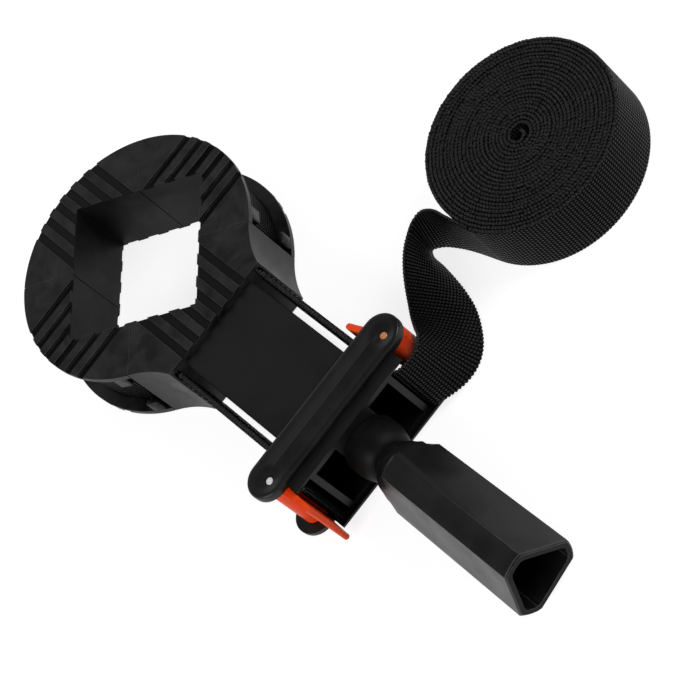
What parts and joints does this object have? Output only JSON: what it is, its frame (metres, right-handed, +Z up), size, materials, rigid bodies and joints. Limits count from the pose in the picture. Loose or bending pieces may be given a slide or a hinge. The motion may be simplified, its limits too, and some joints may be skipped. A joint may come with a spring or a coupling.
{
  "type": "strap band clamp",
  "caption": "Strap band clamp with corner jaws in a ring, a box housing with a screw-driven head jaw, a turning handle, cam levers and a roll of webbing.",
  "frame": {"origin": "underside of the rear plate, midway between the two cam pins, on the bench that the tool lies on", "axes": "+X along the screw towards the handle, +Z up from the bench, +Y towards the loose strap and the roll"},
  "size_m": [0.2593, 0.1941, 0.0315],
  "materials": {
    "jaw_plastic": "black moulded ABS, lightly grained",
    "body_plastic": "black moulded glass-filled nylon, satin",
    "grip_plastic": "black moulded ABS, smooth satin",
    "lever_plastic": "orange-red moulded acetal",
    "webbing": "black woven polyester webbing",
    "steel": "zinc-plated steel"
  },
  "bodies": {
    "housing": {"housing_body": "body_plastic", "front_plate": "body_plastic", "rear_plate": "body_plastic", "spindle_boss": "body_plastic", "cam_pin_left": "steel", "cam_pin_right": "steel", "strap_run_left": "webbing", "strap_run_right": "webbing", "strap_free": "webbing", "strap_roll": "webbing"},
    "handle": {"handle": "grip_plastic", "spindle": "steel", "spindle_clip": "steel", "thrust_washer": "steel", "handle_nut": "steel"},
    "head": {"head_jaw": "jaw_plastic", "plunger": "body_plastic", "plunger_nut": "steel", "plunger_screw": "steel", "far_jaw": "jaw_plastic", "strap_arc_far": "webbing", "strap_head_left": "webbing", "strap_head_right": "webbing"},
    "left_jaw": {"left_jaw": "jaw_plastic", "strap_arc_left": "webbing"},
    "right_jaw": {"right_jaw": "jaw_plastic", "strap_arc_right": "webbing"},
    "cam_left": {"cam_left": "lever_plastic"},
    "cam_right": {"cam_right": "lever_plastic"}
  },
  "joints": [
    {"name": "handle_turn", "type": "hinge", "parent": "housing", "child": "handle", "pos_m": [0.06, 0, 0.01575], "axis": [1, 0, 0], "range_deg": [0, 4320]},
    {"name": "head_slide", "type": "slide", "parent": "housing", "child": "head", "axis": [-1, 0, 0], "range_m": [0, 0.036]},
    {"name": "left_jaw_slide", "type": "slide", "parent": "head", "child": "left_jaw", "axis": [0, 1, 0], "range_m": [0, 0.025]},
    {"name": "right_jaw_slide", "type": "slide", "parent": "head", "child": "right_jaw", "axis": [0, -1, 0], "range_m": [0, 0.025]},
    {"name": "cam_left_hinge", "type": "hinge", "parent": "housing", "child": "cam_left", "pos_m": [0, 0.03, 0.01575], "axis": [0, 0, 1], "range_deg": [-54, 0]},
    {"name": "cam_right_hinge", "type": "hinge", "parent": "housing", "child": "cam_right", "pos_m": [0, -0.03, 0.01575], "axis": [0, 0, 1], "range_deg": [-193, 0]}
  ],
  "couplings": [
    {"joint": "handle_turn", "follows": "head_slide", "rad_per_m": 2094.4}
  ]
}
